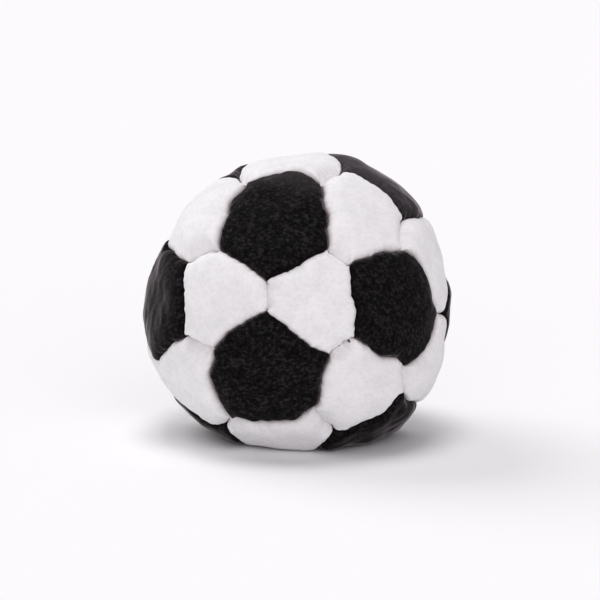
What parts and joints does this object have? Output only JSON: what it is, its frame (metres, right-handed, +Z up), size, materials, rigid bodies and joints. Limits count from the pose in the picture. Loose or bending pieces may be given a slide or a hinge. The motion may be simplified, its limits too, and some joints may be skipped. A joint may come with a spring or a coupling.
{
  "type": "footbag",
  "caption": "Round sewn footbag of black pentagon and white hexagon fabric panels, stitched along turned-in hems and filled with loose pellets, for kicking games.",
  "frame": {"origin": "centre of the flattened base, on the surface that the bag rests on", "axes": "+Z up; the side in the picture faces -Y, with +X to its right"},
  "size_m": [0.0556, 0.0558, 0.0518],
  "materials": {
    "black_suede": "brushed synthetic suede, matte black nap",
    "white_suede": "brushed synthetic suede, matte white nap",
    "thread": "twisted polyester sewing thread",
    "pellets": "loose plastic pellets"
  },
  "bodies": {
    "root": {"black_pentagon_a": "black_suede", "black_pentagon_b": "black_suede", "black_pentagon_c": "black_suede", "black_pentagon_d": "black_suede", "black_pentagon_e": "black_suede", "black_pentagon_f": "black_suede", "black_pentagon_g": "black_suede", "black_pentagon_h": "black_suede", "black_pentagon_i": "black_suede", "black_pentagon_j": "black_suede", "black_pentagon_k": "black_suede", "black_pentagon_l": "black_suede", "white_hexagon_abc": "white_suede", "white_hexagon_abd": "white_suede", "white_hexagon_ace": "white_suede", "white_hexagon_adh": "white_suede", "white_hexagon_aeh": "white_suede", "white_hexagon_bcf": "white_suede", "white_hexagon_bdg": "white_suede", "white_hexagon_bfg": "white_suede", "white_hexagon_cei": "white_suede", "white_hexagon_cfi": "white_suede", "white_hexagon_dgk": "white_suede", "white_hexagon_dhk": "white_suede", "white_hexagon_ehj": "white_suede", "white_hexagon_eij": "white_suede", "white_hexagon_fgl": "white_suede", "white_hexagon_fil": "white_suede", "white_hexagon_gkl": "white_suede", "white_hexagon_hjk": "white_suede", "white_hexagon_ijl": "white_suede", "white_hexagon_jkl": "white_suede", "thread_round_pentagon_a": "thread", "thread_round_pentagon_b": "thread", "thread_round_pentagon_c": "thread", "thread_round_pentagon_d": "thread", "thread_round_pentagon_e": "thread", "thread_round_pentagon_f": "thread", "thread_round_pentagon_g": "thread", "thread_round_pentagon_h": "thread", "thread_round_pentagon_i": "thread", "thread_round_pentagon_j": "thread", "thread_round_pentagon_k": "thread", "thread_round_pentagon_l": "thread", "pellet_fill": "pellets"}
  },
  "joints": []
}
